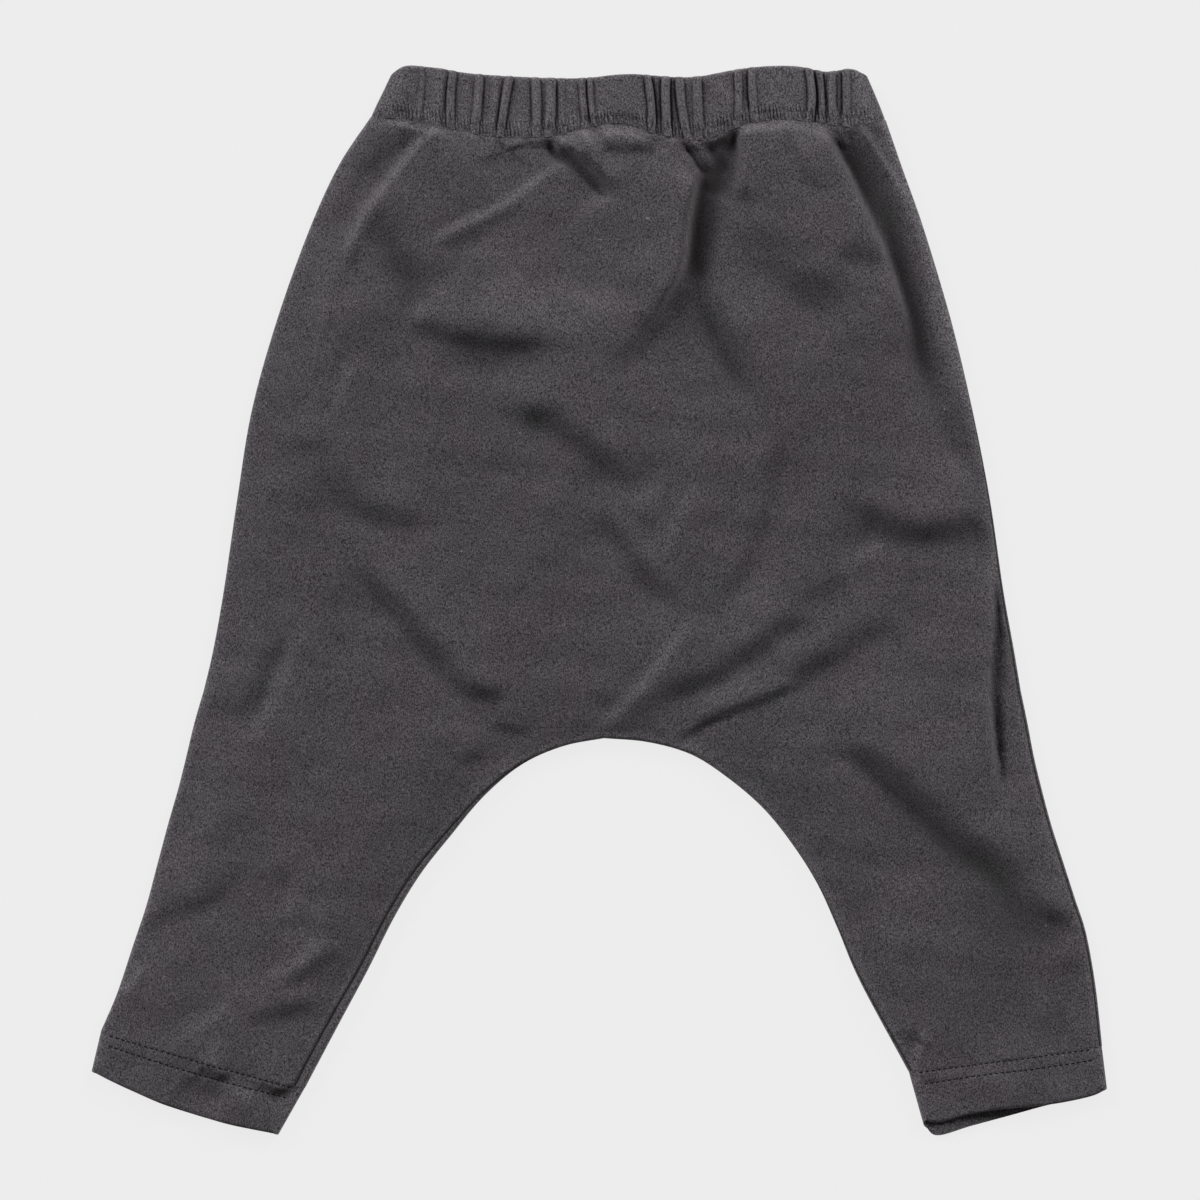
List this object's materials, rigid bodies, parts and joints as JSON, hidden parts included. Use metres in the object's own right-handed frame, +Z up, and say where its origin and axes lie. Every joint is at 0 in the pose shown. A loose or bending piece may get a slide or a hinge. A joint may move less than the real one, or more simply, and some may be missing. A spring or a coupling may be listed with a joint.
{
  "type": "baby leggings",
  "caption": "Low-crotch baby leggings in charcoal jersey, laid flat, with a gathered elastic waistband and twin-needle hems.",
  "frame": {"origin": "middle of the garment's length and width, on the surface that it lies on", "axes": "+Y from the hems towards the waistband, +X towards the wearer's left leg, which is on the right when the front is seen from above, +Z up from the surface"},
  "size_m": [0.3813, 0.4, 0.0103],
  "materials": {
    "jersey": "charcoal cotton jersey with a fine vertical knit, softly brushed and slightly faded, matt"
  },
  "bodies": {
    "root": {"front_panel": "jersey", "back_panel": "jersey", "waistband": "jersey", "hem_left": "jersey", "hem_right": "jersey"}
  },
  "joints": []
}
